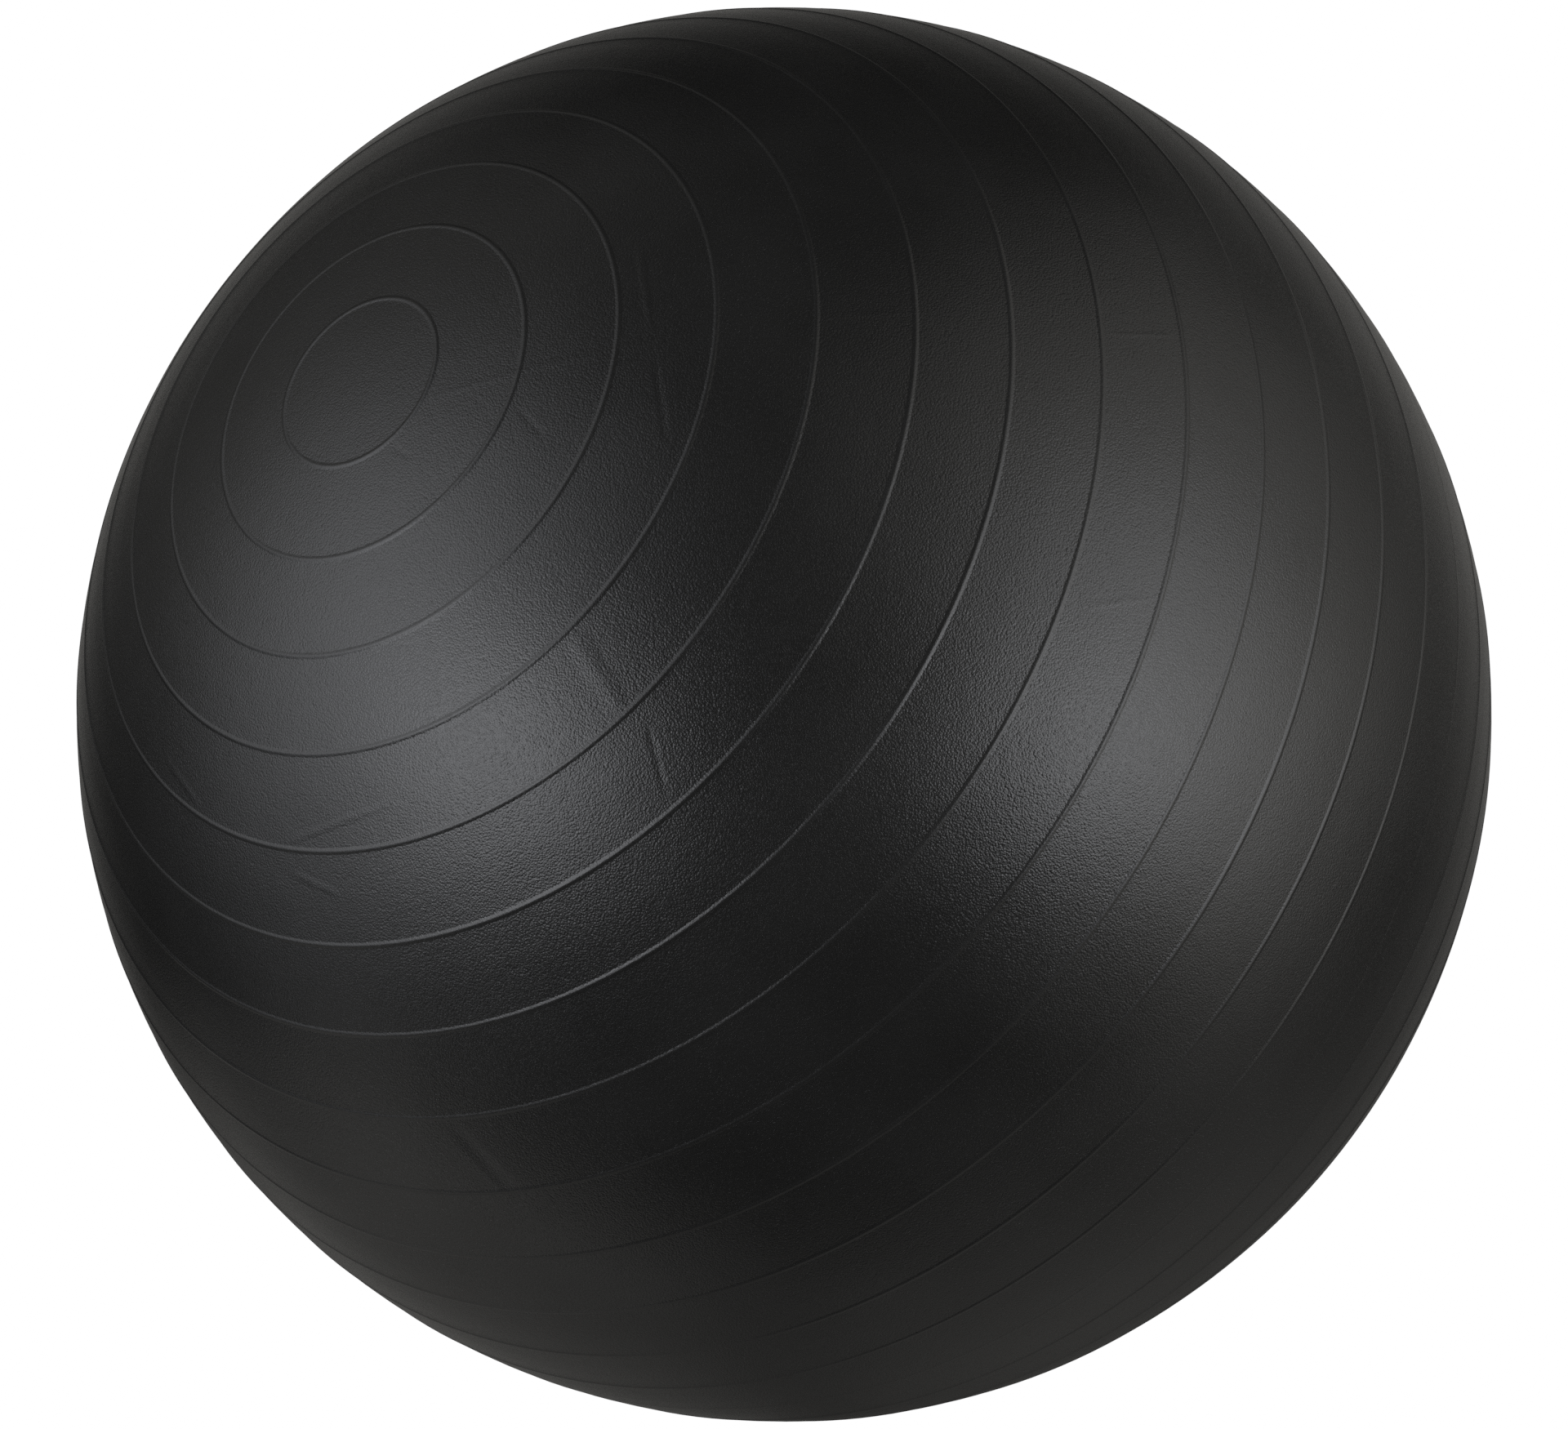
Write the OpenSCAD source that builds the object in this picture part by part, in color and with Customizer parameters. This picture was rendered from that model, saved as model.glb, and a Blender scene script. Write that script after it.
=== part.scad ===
// Inflatable exercise ball with raised grip ribs, a welded-in valve seat and a push-in plug.
// The ribs run in rings around the Y axis. The plain pole faces -Y and the valve faces +Y.
// The origin is the centre of the ball.

/* [Ball] */
// Diameter of the blown-up ball over its plain skin
ball_d = 650; // [450:10:850]
// Thickness of the blown-up skin
skin_t = 0.8; // [0.6:0.1:2]

/* [Ribs] */
// Equal spaces from a pole to the middle of the ball, with a rib at the end of each but the last
rib_spaces = 14; // [8:1:18]
// Width of a rib where it leaves the skin
rib_w = 3; // [2:0.2:5]
// How far a rib stands out of the skin
rib_h = 0.25; // [0.2:0.05:0.8]
// Width of the mould's parting line around the middle
parting_w = 2; // [1:0.5:3]
// How far the parting line stands out of the skin
parting_h = 0.15; // [0.1:0.05:0.3]

/* [Valve seat] */
// Diameter of the seat's collar, which fills the hole in the skin
collar_d = 24; // [22:1:30]
// How far the collar reaches in below the recess floor
collar_below = 3; // [2:0.5:5]
// Diameter of the flange welded to the inside of the skin
flange_d = 44; // [36:1:60]
// Thickness of that flange
flange_t = 1.6; // [1:0.1:3]
// Diameter of the recess that the plug's head sits in
recess_d = 18.4; // [18:0.1:20]
// Depth of that recess below the ball's surface
recess_depth = 2.6; // [2.2:0.1:3.5]
// Outer diameter of the sleeve that grips the plug
sleeve_d = 15; // [12:0.5:18]
// Length of the sleeve below the recess floor
sleeve_len = 20; // [15:1:30]
// Diameter of the bore through the seat
bore_d = 7.6; // [6:0.2:9]
// Width of the chamfer where the bore opens into the recess
lead_in = 0.8; // [0.4:0.1:1.2]

/* [Valve plug] */
// Diameter of the plug's head
head_d = 17.2; // [14:0.1:17.6]
// How far the head's top bulges out in its middle
head_dome = 0.6; // [0.3:0.1:0.9]
// Width of the chamfer under the head's edge, for a fingernail
nail_gap = 0.8; // [0.4:0.1:1]
// Gap between the head and the recess floor
head_gap = 0.1; // [0.05:0.05:0.2]
// Length of the stem below the head
stem_len = 23; // [18:1:28]
// Gap around the stem's sealing rings in the bore
ring_gap = 0.08; // [0.02:0.02:0.1]
// How far the sealing rings stand out of the stem
ring_h = 0.3; // [0.2:0.05:0.4]
// Number of sealing rings
rings = 3; // [2:1:4]
// Diameter of the stem's tip
tip_d = 5.2; // [4.8:0.1:5.4]
// Diameter of the hollow up the middle of the stem
hollow_d = 3.6; // [3:0.1:4]

/* [Hidden] */
revolve_fn = 192;
ball_fn = 256;
rib_fn = 48;
ball_r = ball_d / 2;
inner_r = ball_r - skin_t;
rib_angle = 90 / rib_spaces;
floor_z = ball_r - recess_depth;
collar_bottom = floor_z - collar_below;
sleeve_bottom = floor_z - sleeve_len;
bore_r = bore_d / 2;
// Length that a cutting shape runs past what it cuts
past = 1;
head_r = head_d / 2;
head_under = floor_z + head_gap;
ring_r = bore_r - ring_gap;
stem_r = ring_r - ring_h;
tip_z = head_under - stem_len;
tip_taper = 4;
ring_first = tip_z + tip_taper + 3;
ring_last = head_under - 4;
ring_flat = 0.5;
ring_slope = 0.8;
hollow_top = head_under - 3;
dome_r = bump_radius(head_d, head_dome);

// Radius of the circle whose top stands h above a chord of width w
function bump_radius(w, h) = (w * w / 4 + h * h) / (2 * h);

// Turns a half profile, drawn with the ball's axis upwards, about the Y axis
module turned() {
    rotate([-90, 0, 0])
        rotate_extrude($fn = revolve_fn)
            children();
}

// Half plane on the side of the axis that is kept
module kept_side(width, bottom, top) {
    translate([0, bottom])
        square([width, top - bottom]);
}

// Cross-section of a low round ridge that runs around the ball, tilt degrees from the valve's pole
module ridge(tilt, w, h) {
    r = bump_radius(w, h);
    rotate([0, 0, -tilt])
        translate([0, ball_r + h - r])
            circle(r = r, $fn = rib_fn);
}

module ball_skin() {
    color([0.13, 0.13, 0.13])
        turned()
            difference() {
                intersection() {
                    union() {
                        circle(r = ball_r, $fn = ball_fn);
                        for (i = [1 : 2 * rib_spaces - 1])
                            if (i != rib_spaces)
                                ridge(i * rib_angle, rib_w, rib_h);
                        ridge(90, parting_w, parting_h);
                    }
                    kept_side(ball_d, -ball_d, ball_d);
                }
                circle(r = inner_r, $fn = ball_fn);
                kept_side(collar_d / 2, 0, ball_d);
            }
}

module valve_seat() {
    color([0.10, 0.10, 0.10])
        turned()
            difference() {
                union() {
                    intersection() {
                        circle(r = ball_r, $fn = ball_fn);
                        kept_side(collar_d / 2, collar_bottom, ball_d);
                    }
                    intersection() {
                        difference() {
                            circle(r = inner_r, $fn = ball_fn);
                            circle(r = inner_r - flange_t, $fn = ball_fn);
                        }
                        kept_side(flange_d / 2, 0, ball_d);
                    }
                    kept_side(sleeve_d / 2, sleeve_bottom, floor_z);
                }
                kept_side(recess_d / 2, floor_z, ball_d);
                kept_side(bore_r, sleeve_bottom - past, floor_z + past);
                polygon([[0, floor_z - lead_in - bore_r], [bore_r + lead_in, floor_z], [0, floor_z]]);
            }
}

// Cross-section of one sealing ring, with its middle at height z
module sealing_ring(z) {
    half_flat = ring_flat / 2;
    polygon([
        [hollow_d / 2, z - half_flat - ring_slope],
        [stem_r, z - half_flat - ring_slope],
        [ring_r, z - half_flat],
        [ring_r, z + half_flat],
        [stem_r, z + half_flat + ring_slope],
        [hollow_d / 2, z + half_flat + ring_slope]
    ]);
}

module valve_plug() {
    color([0.86, 0.86, 0.83])
        turned()
            difference() {
                union() {
                    intersection() {
                        translate([0, ball_r - dome_r])
                            circle(r = dome_r, $fn = ball_fn);
                        kept_side(head_r, head_under, ball_d);
                    }
                    polygon([
                        [0, tip_z],
                        [tip_d / 2, tip_z],
                        [stem_r, tip_z + tip_taper],
                        [stem_r, head_under - lead_in],
                        [stem_r + lead_in, head_under],
                        [stem_r + lead_in, head_under + past],
                        [0, head_under + past]
                    ]);
                    for (i = [0 : rings - 1])
                        sealing_ring(ring_first + (ring_last - ring_first) * i / (rings - 1));
                }
                kept_side(hollow_d / 2, tip_z - past, hollow_top);
                polygon([
                    [head_r - nail_gap, head_under],
                    [head_r + past, head_under + nail_gap + past],
                    [head_r + past, head_under - past],
                    [head_r - nail_gap, head_under - past]
                ]);
            }
}

ball_skin();
valve_seat();
valve_plug();
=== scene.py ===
"""Exercise ball: a ribbed PVC skin, its valve seat and its push-in plug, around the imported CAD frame.

Metres, in the row frame: the ribs run around the Y axis, the plain pole faces -Y and the valve faces +Y.
"""
import math

import bpy
from mathutils import Matrix, Vector, noise


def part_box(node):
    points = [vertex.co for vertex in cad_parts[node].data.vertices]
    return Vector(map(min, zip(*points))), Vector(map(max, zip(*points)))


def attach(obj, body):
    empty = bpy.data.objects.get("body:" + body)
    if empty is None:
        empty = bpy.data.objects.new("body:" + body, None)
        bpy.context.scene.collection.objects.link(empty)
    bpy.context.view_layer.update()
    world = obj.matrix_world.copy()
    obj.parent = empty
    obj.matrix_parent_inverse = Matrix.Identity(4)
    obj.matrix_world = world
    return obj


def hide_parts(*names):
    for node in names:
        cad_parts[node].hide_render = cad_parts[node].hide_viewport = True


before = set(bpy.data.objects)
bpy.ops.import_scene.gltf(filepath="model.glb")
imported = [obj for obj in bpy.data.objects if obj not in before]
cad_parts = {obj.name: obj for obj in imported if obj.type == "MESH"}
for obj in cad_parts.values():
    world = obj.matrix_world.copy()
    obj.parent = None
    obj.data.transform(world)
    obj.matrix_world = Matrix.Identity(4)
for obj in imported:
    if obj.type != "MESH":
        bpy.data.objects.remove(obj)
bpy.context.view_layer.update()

MM = 0.001

# ---------------------------------------------------------------- sizes
# Outer sizes come from the CAD frame. The details inside them are the ones that part.scad gives.
SKIN_LOW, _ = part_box("ball_skin")
SEAT_LOW, SEAT_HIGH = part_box("valve_seat")
PLUG_LOW, PLUG_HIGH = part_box("valve_plug")

BALL_R = -SKIN_LOW.y
SKIN_T = 0.8 * MM
INNER_R = BALL_R - SKIN_T

# Ribs: equal steps of angle from pole to pole, and the mould's parting line in the middle step
RIB_SPACES = 14
RIB_PITCH = math.pi / 2 / RIB_SPACES
RIB_W = 3.0 * MM
RIB_H = 0.25 * MM
PARTING_W = 3.0 * MM
PARTING_H = 0.08 * MM

# Valve seat
COLLAR_R = 12.0 * MM
FLANGE_R = SEAT_HIGH.x
FLANGE_T = 1.6 * MM
COLLAR_BELOW = 3.0 * MM
RECESS_R = 9.2 * MM
RECESS_DEPTH = 2.6 * MM
SLEEVE_R = 7.5 * MM
BORE_R = 3.8 * MM
LEAD_IN = 0.8 * MM
RECESS_FLOOR = BALL_R - RECESS_DEPTH
SLEEVE_END = SEAT_LOW.y

# Valve plug
HEAD_R = PLUG_HIGH.x
HEAD_UNDER = RECESS_FLOOR + 0.1 * MM
HEAD_DOME = 0.6 * MM
HEAD_EDGE = 0.5 * MM
NAIL_GAP = 0.8 * MM
DOME_REACH = HEAD_R - 1.0 * MM
DIMPLE_R = 1.2 * MM
DIMPLE_FLOOR_R = 0.7 * MM
DIMPLE_DEPTH = 0.35 * MM
RINGS = 3
RING_R = BORE_R - 0.08 * MM
RING_FLAT = 0.35 * MM
RING_FOOT = 1.05 * MM
STEM_R = RING_R - 0.3 * MM
STEM_TIP = PLUG_LOW.y
LOWEST_RING = STEM_TIP + 7 * MM
HIGHEST_RING = HEAD_UNDER - 4 * MM
TAPER_TOP = STEM_TIP + 4 * MM
TIP_R = 2.6 * MM
TIP_ROUND = 0.2 * MM
HOLLOW_R = 1.8 * MM
HOLLOW_TOP = HEAD_UNDER - 3 * MM


# ---------------------------------------------------------------- camera
CAMERA_AZIMUTH = math.radians(39.5)
CAMERA_ROLL = math.radians(38.1)
CAMERA_DISTANCE = 3.81 * BALL_R
CAMERA_LENS_MM = 59.75


def camera_axes():
    """Right, up and back directions of the camera, which stands level with the ball's centre."""
    level = Vector((math.cos(CAMERA_AZIMUTH), math.sin(CAMERA_AZIMUTH), 0))
    back = Vector((math.sin(CAMERA_AZIMUTH), -math.cos(CAMERA_AZIMUTH), 0))
    upright = Vector((0, 0, 1))
    right = level * math.cos(CAMERA_ROLL) + upright * math.sin(CAMERA_ROLL)
    up = upright * math.cos(CAMERA_ROLL) - level * math.sin(CAMERA_ROLL)
    return right, up, back


VIEW_RIGHT, VIEW_UP, VIEW_BACK = camera_axes()


def add_object(name, data):
    made = bpy.data.objects.new(name, data)
    bpy.context.scene.collection.objects.link(made)
    return made


def make_camera():
    data = bpy.data.cameras.new("camera")
    data.lens = CAMERA_LENS_MM
    camera = add_object("camera", data)
    turn = Matrix((VIEW_RIGHT, VIEW_UP, VIEW_BACK)).transposed()
    camera.matrix_world = Matrix.Translation(VIEW_BACK * CAMERA_DISTANCE) @ turn.to_4x4()
    bpy.context.scene.camera = camera


# ---------------------------------------------------------------- node helpers
class Tree:
    """Adds shader nodes to a material or world and joins them up."""

    def __init__(self, owner):
        owner.use_nodes = True
        self.nodes = owner.node_tree.nodes
        self.links = owner.node_tree.links

    def put(self, socket, value):
        if isinstance(value, bpy.types.NodeSocket):
            self.links.new(value, socket)
        else:
            socket.default_value = value

    def node(self, kind, inputs=None, **settings):
        made = self.nodes.new(kind)
        for name, value in settings.items():
            setattr(made, name, value)
        for name, value in (inputs or {}).items():
            self.put(made.inputs[name], value)
        return made

    def math(self, operation, *values):
        made = self.node("ShaderNodeMath", operation=operation)
        for socket, value in zip(made.inputs, values):
            self.put(socket, value)
        return made.outputs[0]

    def dot(self, vector, axis):
        made = self.node("ShaderNodeVectorMath", operation="DOT_PRODUCT")
        self.put(made.inputs[0], vector)
        self.put(made.inputs[1], tuple(axis))
        return made.outputs["Value"]

    def ramp(self, value, low, high, start=0.0, end=1.0):
        """Goes smoothly from start at low to end at high."""
        inputs = {"Value": value, "From Min": low, "From Max": high, "To Min": start, "To Max": end}
        made = self.node("ShaderNodeMapRange", inputs, interpolation_type="SMOOTHSTEP")
        return made.outputs["Result"]

    def mix(self, factor, first, second):
        made = self.node("ShaderNodeMix", data_type="RGBA")
        self.put(made.inputs["Factor"], factor)
        self.put(made.inputs["A"], first)
        self.put(made.inputs["B"], second)
        return made.outputs["Result"]

    def noise(self, coords, size, detail=2.0):
        """Soft noise whose patches are about size metres across."""
        inputs = {"Vector": coords, "Scale": 1 / size, "Detail": detail}
        return self.node("ShaderNodeTexNoise", inputs).outputs["Fac"]

    def bump(self, height, distance, normal=None):
        """Normal of a surface raised by height times distance metres."""
        inputs = {"Height": height, "Distance": distance}
        if normal is not None:
            inputs["Normal"] = normal
        return self.node("ShaderNodeBump", inputs).outputs["Normal"]


def new_material(name):
    """A material's node tree, its shader and its object coordinates."""
    material = bpy.data.materials.new(name)
    tree = Tree(material)
    coords = tree.node("ShaderNodeTexCoord").outputs["Object"]
    return material, tree, tree.nodes["Principled BSDF"], coords


# ---------------------------------------------------------------- materials
# Nearly all values of a noise texture lie between these two
NOISE_SPAN = (0.3, 0.7)

# Skin: breadth and height of its grain, its dents and its faint patches of tone
PEBBLE = 0.8 * MM
FINE_GRAIN = 0.35 * MM
FINE_SHARE = 0.5
GRAIN_HEIGHT = 0.09 * MM
DENT = 9 * MM
DENT_HEIGHT = 0.06 * MM
PATCH = 60 * MM
SKIN_DARK = (0.0146, 0.0144, 0.0139, 1)
SKIN_LIGHT = (0.0180, 0.0178, 0.0172, 1)
SKIN_ROUGHNESS = (0.16, 0.19)

# Ribs: the share of its height at which a rib has its full finish, how much of the grain is lost
# there, and how much rougher it is than the skin around it
RIB_FINISH = 0.4
RIB_GRAIN_LOSS = 0.5
RIB_ROUGHER = 0.1

# Creases left in the skin from when it lay folded. Each end is a number of rib steps from the plain
# pole and a turn in degrees about the axis, then come the width and the height in millimetres. A
# height below zero is a furrow.
CREASES = [
    ((3.3, 28), (3.35, 48), 5, 0.09),
    ((3.4, 52), (3.75, 67), 5, -0.09),
    ((1.0, 77), (2.9, 52), 5, 0.04),
    ((2.9, 52), (3.95, 47.5), 5, 0.04),
    ((5.0, 45.5), (6.1, 44), 4, 0.04),
    ((4.05, 99.5), (4.95, 101.5), 12, 0.12),
    ((5.25, 100.5), (5.85, 104), 5, -0.09),
    ((4.6, 136), (4.95, 154), 5, 0.1),
    ((5.25, 153), (5.45, 146), 5, 0.09),
    ((4.7, 181), (4.9, 171), 6, 0.09),
    ((8.1, 141), (9.0, 138.5), 12, -0.2),
    ((8.15, 43), (8.9, 41.5), 4, 0.07),
    ((8.25, 68), (8.9, 65), 4, 0.06),
    ((2.15, 69), (2.55, 74), 5, -0.07),
    ((1.1, 106), (1.35, 103), 5, -0.07),
]

# Where a crease is gone and where it is at full height, in shares of half its length
CREASE_GONE = 1.2
CREASE_FULL = 0.4


def skin_direction(steps, turn):
    """Direction from the ball's centre, from rib steps and a turn in degrees."""
    angle = steps * RIB_PITCH
    turn = math.radians(turn)
    aside = math.sin(angle)
    return Vector((aside * math.sin(turn), -math.cos(angle), aside * math.cos(turn)))


def crease_height(tree, coords):
    """Height in metres of all the creases together, each a soft ridge that fades out at its ends."""
    unit = tree.node("ShaderNodeVectorMath", operation="NORMALIZE")
    tree.put(unit.inputs[0], coords)
    direction = unit.outputs["Vector"]
    total = 0.0
    for start, end, width, height in CREASES:
        first, last = skin_direction(*start), skin_direction(*end)
        middle = (first + last).normalized()
        reach = first.angle(middle)
        aside = tree.math("ABSOLUTE", tree.dot(direction, first.cross(last).normalized()))
        across = tree.ramp(aside, width / 2 * MM / BALL_R, 0.0)
        gone, full = math.cos(reach * CREASE_GONE), math.cos(reach * CREASE_FULL)
        along = tree.ramp(tree.dot(direction, middle), gone, full)
        total = tree.math("MULTIPLY_ADD", tree.math("MULTIPLY", across, along), height * MM, total)
    return total


def pvc_skin_material():
    """Satin black PVC with a fine pebbled grain that is fainter on the ribs."""
    material, tree, shader, coords = new_material("pvc_skin")
    share = tree.node("ShaderNodeAttribute", attribute_name="rib").outputs["Fac"]
    rib = tree.ramp(share, 0.0, RIB_FINISH)

    # Pebbles whose heights run from 0.6 to 1.4 of the usual one, with finer grain over them
    cells = tree.node("ShaderNodeTexVoronoi", {"Vector": coords, "Scale": 1 / PEBBLE})
    uneven = tree.math("MULTIPLY_ADD", cells.outputs["Color"], 0.8, 0.6)
    pebbles = tree.math("MULTIPLY", cells.outputs["Distance"], uneven)
    fine = tree.noise(coords, FINE_GRAIN)
    grain = tree.math("MULTIPLY_ADD", fine, FINE_SHARE, tree.math("MULTIPLY", pebbles, -1.0))
    grain = tree.math("MULTIPLY", grain, tree.math("MULTIPLY_ADD", rib, -RIB_GRAIN_LOSS, 1.0))

    patches = tree.noise(coords, PATCH, detail=3.0)
    color = tree.mix(tree.ramp(patches, *NOISE_SPAN), SKIN_DARK, SKIN_LIGHT)
    satin = tree.ramp(patches, *NOISE_SPAN, *SKIN_ROUGHNESS)
    dents = tree.math("MULTIPLY", tree.noise(coords, DENT, detail=1.0), DENT_HEIGHT)
    folds = tree.bump(tree.math("ADD", crease_height(tree, coords), dents), 1.0)
    tree.put(shader.inputs["Base Color"], color)
    tree.put(shader.inputs["Roughness"], tree.math("MULTIPLY_ADD", rib, RIB_ROUGHER, satin))
    tree.put(shader.inputs["Normal"], tree.bump(grain, GRAIN_HEIGHT, normal=folds))
    return material


def clouded_material(name, cloud, tones, roughness, grain, grain_height):
    """Plain moulded material with soft clouds of tone and sheen and a fine grain."""
    material, tree, shader, coords = new_material(name)
    clouds = tree.noise(coords, cloud, detail=3.0)
    tree.put(shader.inputs["Base Color"], tree.mix(clouds, *tones))
    tree.put(shader.inputs["Roughness"], tree.ramp(clouds, *NOISE_SPAN, *roughness))
    tree.put(shader.inputs["Normal"], tree.bump(tree.noise(coords, grain), grain_height))
    return material


def seat_material():
    """Smooth black rubber, a little greyer than the skin."""
    tones = ((0.014, 0.014, 0.014, 1), (0.024, 0.024, 0.023, 1))
    return clouded_material("seat_rubber", 6 * MM, tones, (0.38, 0.5), 0.5 * MM, 0.02 * MM)


def plug_material():
    """Soft off-white plastic, faintly clouded."""
    tones = ((0.62, 0.61, 0.56, 1), (0.70, 0.69, 0.65, 1))
    return clouded_material("plug_plastic", 4 * MM, tones, (0.34, 0.44), 0.4 * MM, 0.01 * MM)


# ---------------------------------------------------------------- mesh helpers
ON_AXIS = 1e-9


def sphere_y(radius, aside):
    """Y of a sphere's surface on the valve's side, at a distance aside from the axis."""
    return math.sqrt(radius ** 2 - aside ** 2)


def arc(centre, radius, start_deg, end_deg, steps):
    """Points of an arc in the (distance from axis, y) plane."""
    points = []
    for i in range(steps + 1):
        angle = math.radians(start_deg + (end_deg - start_deg) * i / steps)
        points.append((centre[0] + radius * math.cos(angle), centre[1] + radius * math.sin(angle)))
    return points


def turned_mesh(name, profile, segments, closed):
    """Turns a profile of (distance from axis, y) points about the Y axis.

    A closed profile is a ring. An open one starts and ends on the axis.
    """
    verts, faces, rows = [], [], []
    for radius, y in profile:
        if radius < ON_AXIS:
            rows.append([len(verts)] * segments)
            verts.append((0, y, 0))
            continue
        rows.append(list(range(len(verts), len(verts) + segments)))
        for k in range(segments):
            angle = 2 * math.pi * k / segments
            verts.append((radius * math.sin(angle), y, radius * math.cos(angle)))
    pairs = list(zip(rows, rows[1:]))
    if closed:
        pairs.append((rows[-1], rows[0]))
    for low, high in pairs:
        for k in range(segments):
            n = (k + 1) % segments
            corners = [low[k], low[n], high[n], high[k]]
            faces.append([v for i, v in enumerate(corners) if v not in corners[:i]])
    mesh = bpy.data.meshes.new(name)
    mesh.from_pydata(verts, [], faces)
    mesh.polygons.foreach_set("use_smooth", [True] * len(mesh.polygons))
    mesh.update()
    return add_object(name, mesh), rows


def weighed_normals(mesh):
    """Normals of the vertices, with each face counted by its area so that flat parts shade flat."""
    normals = [Vector() for _ in mesh.vertices]
    for face in mesh.polygons:
        for v in face.vertices:
            normals[v] += face.normal * face.area
    return [normal.normalized() for normal in normals]


def stand_for(piece, node, body, material):
    """Puts a finished piece in place of its CAD node."""
    piece.data.materials.append(material)
    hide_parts(node)
    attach(piece, body)


# ---------------------------------------------------------------- skin
SKIN_SEGMENTS = 256
RIB_STEPS = 8
GAP_STEPS = 3
INNER_STEPS = 40
HOLE_ROUND = 0.3 * MM
HOLE_ANGLE = math.pi - math.asin((COLLAR_R + HOLE_ROUND) / BALL_R)

# Soft unevenness of the blown skin: its depth, its breadth in metres and the place in the noise that
# it is read from. It has none within SWELL_START radians of the valve, and sets in over SWELL_ONSET.
SWELL = 0.45 * MM
SWELL_BREADTH = 0.19
SWELL_SEED = Vector((3.1, 7.4, 1.7))
SWELL_START = 0.15
SWELL_ONSET = 0.3

# Half the angle in radians over which the slope of the outer surface is taken
SLOPE_STEP = 0.0003

VALVE_WAY = Vector((0, 1, 0))


def ridge_size(index):
    """Width and height of the ridge at a step of the rib pitch."""
    return (PARTING_W, PARTING_H) if index == RIB_SPACES else (RIB_W, RIB_H)


def rib_share(angle):
    """Share of a ridge's full height at an angle from the plain pole, and that ridge's index."""
    index = round(angle / RIB_PITCH)
    if not 1 <= index < 2 * RIB_SPACES:
        return 0.0, index
    reach = ridge_size(index)[0] / 2
    offset = abs(angle - index * RIB_PITCH) * BALL_R
    return (0.5 + 0.5 * math.cos(math.pi * offset / reach) if offset < reach else 0.0), index


def skin_rise(angle):
    """Height of the ridges at an angle from the plain pole."""
    share, index = rib_share(angle)
    return share * ridge_size(index)[1]


def swell(direction):
    """Depth of the soft unevenness, always inwards and fading out at the valve."""
    onset = max(0.0, min(1.0, (direction.angle(VALVE_WAY) - SWELL_START) / SWELL_ONSET))
    soft = noise.noise(direction * (BALL_R / SWELL_BREADTH) + SWELL_SEED)
    return -SWELL * onset * (0.5 + 0.5 * soft)


def skin_angles():
    """Angles from the plain pole of the outer rows, close together across each ridge."""
    angles = [0.0]
    edge = 0.0
    for i in range(1, 2 * RIB_SPACES):
        reach = ridge_size(i)[0] / 2 / BALL_R
        middle = i * RIB_PITCH
        for k in range(1, GAP_STEPS):
            angles.append(edge + (middle - reach - edge) * k / GAP_STEPS)
        for k in range(RIB_STEPS + 1):
            angles.append(middle + reach * (2 * k / RIB_STEPS - 1))
        edge = middle + reach
    for k in range(1, GAP_STEPS + 1):
        angles.append(edge + (HOLE_ANGLE - edge) * k / GAP_STEPS)
    return angles


def outer_point(direction):
    """Point of the outer surface in a direction from the ball's centre."""
    angle = math.acos(max(-1.0, min(1.0, -direction.y)))
    return direction * (BALL_R + skin_rise(angle) + swell(direction))


def outer_normal(direction):
    """Normal of the outer surface, from two small steps along it."""
    aside = direction.cross(VALVE_WAY)
    aside = aside.normalized() if aside.length > ON_AXIS else Vector((1, 0, 0))
    along = direction.cross(aside)
    spans = []
    for way in (aside, along):
        ahead = outer_point((direction + way * SLOPE_STEP).normalized())
        spans.append(ahead - outer_point((direction - way * SLOPE_STEP).normalized()))
    normal = spans[0].cross(spans[1]).normalized()
    return normal if normal.dot(direction) > 0 else -normal


def make_skin():
    """Ribbed outside, rounded edge of the valve's hole, and plain inside, from pole to pole."""
    angles = skin_angles()
    profile = [(math.sin(a) * BALL_R, -math.cos(a) * BALL_R) for a in angles]
    profile.append((COLLAR_R, profile[-1][1] - HOLE_ROUND))
    hole = math.pi - math.asin(COLLAR_R / INNER_R)
    for k in range(INNER_STEPS):
        angle = hole * (1 - k / INNER_STEPS)
        profile.append((INNER_R * math.sin(angle), -INNER_R * math.cos(angle)))
    profile.append((0.0, -INNER_R))
    skin, rows = turned_mesh("skin", profile, SKIN_SEGMENTS, closed=False)
    mesh = skin.data
    rib = mesh.attributes.new("rib", "FLOAT", "POINT")
    normals = weighed_normals(mesh)
    for angle, members in zip(angles, rows):
        share, index = rib_share(angle)
        for v in set(members):
            rib.data[v].value = 0.0 if index == RIB_SPACES else share
            direction = mesh.vertices[v].co.normalized()
            normals[v] = outer_normal(direction)
            mesh.vertices[v].co = outer_point(direction)
    # The inside swells with the outside, so that the skin keeps its thickness
    for members in rows[len(angles) + 1:]:
        for v in set(members):
            direction = mesh.vertices[v].co.normalized()
            mesh.vertices[v].co += direction * swell(direction)
    mesh.normals_split_custom_set_from_vertices(normals)
    stand_for(skin, "ball_skin", "ball", pvc_skin_material())


# ---------------------------------------------------------------- valve
VALVE_SEGMENTS = 96
LIP_STEPS = 4
FLANGE_STEPS = 4
DOME_STEPS = 7

# Seat: rounding of its edges, how far the recess's edge stands above the collar's, and the gap
# between the skin and what is welded to it
LIP = 0.3 * MM
RECESS_LIFT = 0.05 * MM
WELD_GAP = 0.02 * MM


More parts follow.
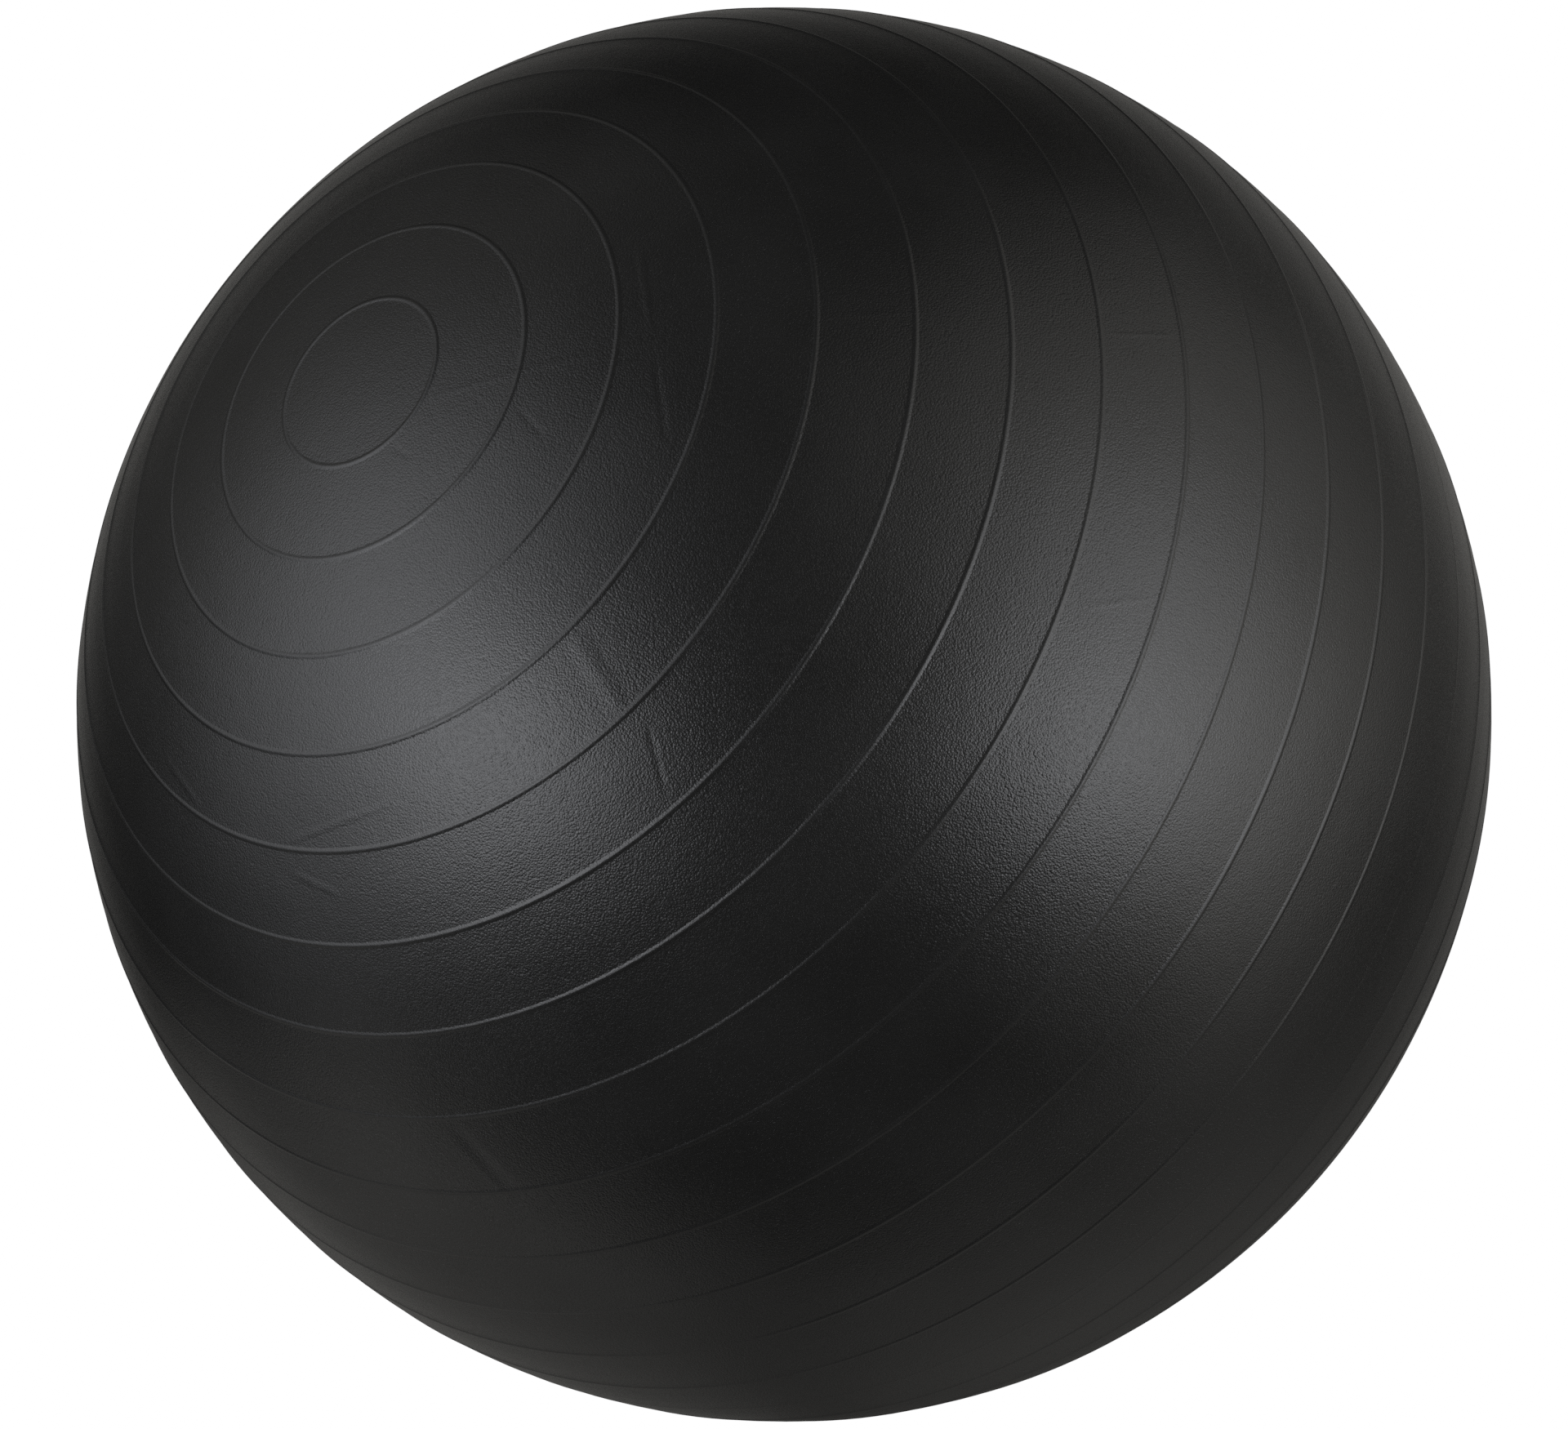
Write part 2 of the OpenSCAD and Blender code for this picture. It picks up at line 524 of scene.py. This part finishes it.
def make_seat():
    """Collar with a recess, flange welded inside the skin, and sleeve with the bore."""
    collar_top = sphere_y(BALL_R, COLLAR_R)
    boss_bottom = RECESS_FLOOR - COLLAR_BELOW
    flange_rim = sphere_y(INNER_R, FLANGE_R)
    flange_under = INNER_R - FLANGE_T
    profile = []
    # Top of the collar, the recess in it, and the bore
    profile += arc((COLLAR_R - LIP, collar_top - LIP), LIP, 0, 90, LIP_STEPS)
    profile += arc((RECESS_R + LIP, collar_top + RECESS_LIFT - LIP), LIP, 90, 180, LIP_STEPS)
    profile += arc((RECESS_R - LIP, RECESS_FLOOR + LIP), LIP, 0, -90, LIP_STEPS)
    profile += [(BORE_R + LEAD_IN, RECESS_FLOOR), (BORE_R, RECESS_FLOOR - LEAD_IN)]
    profile += [(BORE_R, SLEEVE_END + LIP), (BORE_R + LIP, SLEEVE_END)]
    # Outside of the sleeve, and the boss under the collar
    profile += arc((SLEEVE_R - LIP, SLEEVE_END + LIP), LIP, -90, 0, LIP_STEPS)
    profile += arc((SLEEVE_R + LIP * 2, boss_bottom - LIP * 2), LIP * 2, 180, 90, LIP_STEPS)
    profile += arc((COLLAR_R - LIP, boss_bottom + LIP), LIP, -90, 0, LIP_STEPS)
    # Underside, rim and top of the flange
    profile += [(COLLAR_R, sphere_y(flange_under, COLLAR_R))]
    for k in range(1, FLANGE_STEPS + 1):
        r = COLLAR_R + (FLANGE_R - 2 * LIP - COLLAR_R) * k / FLANGE_STEPS
        profile.append((r, sphere_y(flange_under, r)))
    profile += [(FLANGE_R, flange_rim - FLANGE_T / 2), (FLANGE_R - LIP, flange_rim - LIP / 2)]
    for k in range(1, FLANGE_STEPS):
        r = FLANGE_R - LIP + (COLLAR_R - FLANGE_R + LIP) * k / FLANGE_STEPS
        profile.append((r, sphere_y(INNER_R, r) - WELD_GAP))
    profile.append((COLLAR_R - WELD_GAP, sphere_y(INNER_R, COLLAR_R) - WELD_GAP))
    profile.reverse()
    seat, _ = turned_mesh("valve_collar", profile, VALVE_SEGMENTS, closed=True)
    seat.data.normals_split_custom_set_from_vertices(weighed_normals(seat.data))
    stand_for(seat, "valve_seat", "ball", seat_material())


def make_plug():
    """Slightly domed head with a moulding dimple, ringed stem, tapered tip and hollow."""
    dome_r = (HEAD_R ** 2 + HEAD_DOME ** 2) / (2 * HEAD_DOME)
    dome_middle = BALL_R - dome_r
    edge_middle = BALL_R - HEAD_DOME - HEAD_EDGE
    # Dimple, dome and rim of the head
    profile = [(0.0, BALL_R - DIMPLE_DEPTH)]
    profile += [(DIMPLE_FLOOR_R, BALL_R - 0.32 * MM), (DIMPLE_R, BALL_R - 0.05 * MM)]
    for k in range(1, DOME_STEPS):
        r = DIMPLE_R + DOME_REACH * k / DOME_STEPS
        profile.append((r, dome_middle + sphere_y(dome_r, r)))
    profile += arc((HEAD_R - HEAD_EDGE, edge_middle), HEAD_EDGE, 75, 0, 5)
    profile += [(HEAD_R, HEAD_UNDER + NAIL_GAP), (HEAD_R - NAIL_GAP, HEAD_UNDER)]
    # Stem with its sealing rings, from the head down
    profile += [(STEM_R + LEAD_IN, HEAD_UNDER), (STEM_R, HEAD_UNDER - LEAD_IN)]
    for k in range(RINGS):
        middle = HIGHEST_RING + (LOWEST_RING - HIGHEST_RING) * k / (RINGS - 1)
        profile += [(STEM_R, middle + RING_FOOT), (RING_R, middle + RING_FLAT), (RING_R, middle)]
        profile += [(RING_R, middle - RING_FLAT), (STEM_R, middle - RING_FOOT)]
    # Tapered tip, and the hollow that ends in a cone
    profile += [(STEM_R, TAPER_TOP), (TIP_R + TIP_ROUND, STEM_TIP + 0.5 * MM)]
    profile += [(TIP_R - TIP_ROUND, STEM_TIP), (HOLLOW_R + TIP_ROUND, STEM_TIP)]
    profile += [(HOLLOW_R, STEM_TIP + 0.3 * MM), (HOLLOW_R, HOLLOW_TOP - 0.6 * MM)]
    profile += [(HOLLOW_R * 0.6, HOLLOW_TOP - 0.1 * MM), (0.0, HOLLOW_TOP)]
    profile.reverse()
    plug, _ = turned_mesh("push_in_plug", profile, VALVE_SEGMENTS, closed=False)
    plug.data.normals_split_custom_set_from_vertices(weighed_normals(plug.data))
    stand_for(plug, "valve_plug", "plug", plug_material())


# ---------------------------------------------------------------- stage and lights
# Half a side of the white box around the scene
BACKDROP_REACH = 20.0

# Light behind the ball: width across, power in watts and distance from the ball's centre
BACK_LIGHT_SIZE = 1.3
BACK_LIGHT_POWER = 12
BACK_LIGHT_DISTANCE = 1.5

# Lit areas of the studio, under the tint of their light. They are angles in degrees seen from the
# ball, from the way to the camera: left and right edge, lower and upper edge, softness across and
# upwards. The brightness comes last. Angles grow to the camera's right and upwards.
COOL = (0.965, 0.985, 1.03)
WARM = (1.02, 1.0, 0.95)
STUDIO = {
    COOL: {
        "left_soft_box": (-82, -39, -18, 35, 57, 50, 2.5),
        "left_core": (-56, -26, -20, 7, 18, 6, 2.6),
        "right_soft_box": (35, 76, -20, 30, 28, 22, 1.5),
        "right_core": (31, 57, -16, 5, 8, 10, 2.0),
    },
    WARM: {
        "left_glow": (-124, -60, 5, 74, 60, 43, 0.2),
        "right_fill": (60, 87, -20, -5, 55, 60, 2.6),
        "right_glow": (27, 108, -5, 55, 55, 30, 0.62),
        "floor_left": (-178, -130, -95, -18, 44, 5, 0.14),
        "floor_near_left": (-123, -80, -80, -34, 50, 15, 0.34),
        "floor_right": (74, 175, -110, -28, 60, 48, 0.15),
        "wall_behind_right": (134, 212, -10, 32, 21, 45, 0.2),
    },
}


def soft_step(tree, value, edge, softness, falling=False):
    """Rises from 0 to 1 across an edge, or falls from 1 to 0."""
    start, end = (1.0, 0.0) if falling else (0.0, 1.0)
    return tree.ramp(value, edge - softness / 2, edge + softness / 2, start, end)


def make_world():
    """A dark studio with soft lit areas, placed around the camera's own directions."""
    world = bpy.data.worlds.new("studio")
    bpy.context.scene.world = world
    tree = Tree(world)
    direction = tree.node("ShaderNodeTexCoord").outputs["Generated"]
    x = tree.dot(direction, VIEW_RIGHT)
    y = tree.dot(direction, VIEW_UP)
    z = tree.dot(direction, VIEW_BACK)
    across = tree.math("DEGREES", tree.math("ARCTAN2", x, z))
    upwards = tree.math("DEGREES", tree.math("ARCSINE", y))
    wrapped = tree.math("ADD", across, tree.math("MULTIPLY", tree.math("LESS_THAN", across, 0), 360))
    glow = (0, 0, 0)
    for tint, areas in STUDIO.items():
        total = 0.0
        for left, right, low, high, soft_x, soft_y, strength in areas.values():
            angle = wrapped if right > 180 else across
            area = soft_step(tree, angle, left, soft_x)
            area = tree.math("MULTIPLY", area, soft_step(tree, angle, right, soft_x, falling=True))
            area = tree.math("MULTIPLY", area, soft_step(tree, upwards, low, soft_y))
            area = tree.math("MULTIPLY", area, soft_step(tree, upwards, high, soft_y, falling=True))
            total = tree.math("MULTIPLY_ADD", area, strength, total)
        scaled = tree.node("ShaderNodeVectorMath", operation="SCALE")
        scaled.inputs[0].default_value = tint
        tree.put(scaled.inputs["Scale"], total)
        added = tree.node("ShaderNodeVectorMath", operation="ADD")
        tree.put(added.inputs[0], scaled.outputs["Vector"])
        tree.put(added.inputs[1], glow)
        glow = added.outputs["Vector"]
    tree.put(tree.nodes["Background"].inputs["Color"], glow)


def make_back_light():
    """A large soft light behind the ball, which only the sides away from the camera see."""
    data = bpy.data.lights.new("back_soft_box", "AREA")
    data.shape = "DISK"
    data.size = BACK_LIGHT_SIZE
    data.energy = BACK_LIGHT_POWER
    lamp = add_object("back_soft_box", data)
    lamp.visible_camera = False
    lamp.location = -VIEW_BACK * BACK_LIGHT_DISTANCE
    lamp.rotation_mode = "QUATERNION"
    lamp.rotation_quaternion = (-VIEW_BACK).to_track_quat("Z", "Y")


def stage_piece(name, verts, faces):
    """A shadeless white surface that only the camera sees."""
    mesh = bpy.data.meshes.new(name)
    mesh.from_pydata(verts, [], faces)
    made = add_object(name, mesh)
    material = bpy.data.materials.new(name)
    tree = Tree(material)
    shader = tree.nodes["Principled BSDF"]
    shader.inputs["Base Color"].default_value = (0, 0, 0, 1)
    shader.inputs["Specular IOR Level"].default_value = 0
    shader.inputs["Emission Color"].default_value = (1, 1, 1, 1)
    shader.inputs["Emission Strength"].default_value = 1
    mesh.materials.append(material)
    for flag in ("visible_diffuse", "visible_glossy", "visible_shadow", "visible_transmission"):
        setattr(made, flag, False)


def make_stage():
    """White floor under the ball and a white box around it."""
    s = BACKDROP_REACH
    z = SKIN_LOW.z
    stage_piece("floor", [(-s, -s, z), (s, -s, z), (s, s, z), (-s, s, z)], [(0, 1, 2, 3)])
    corners = [(x, y, h) for x in (-s, s) for y in (-s, s) for h in (-s, s)]
    sides = [(0, 1, 3, 2), (4, 6, 7, 5), (0, 4, 5, 1), (2, 3, 7, 6), (0, 2, 6, 4), (1, 5, 7, 3)]
    stage_piece("backdrop", corners, sides)


# ---------------------------------------------------------------- the scene
make_camera()
make_skin()
make_seat()
make_plug()
make_world()
make_back_light()
make_stage()
bpy.context.scene.view_settings.view_transform = "Standard"
# The denoiser would smooth the skin's fine grain away
bpy.context.scene.cycles.use_denoising = False
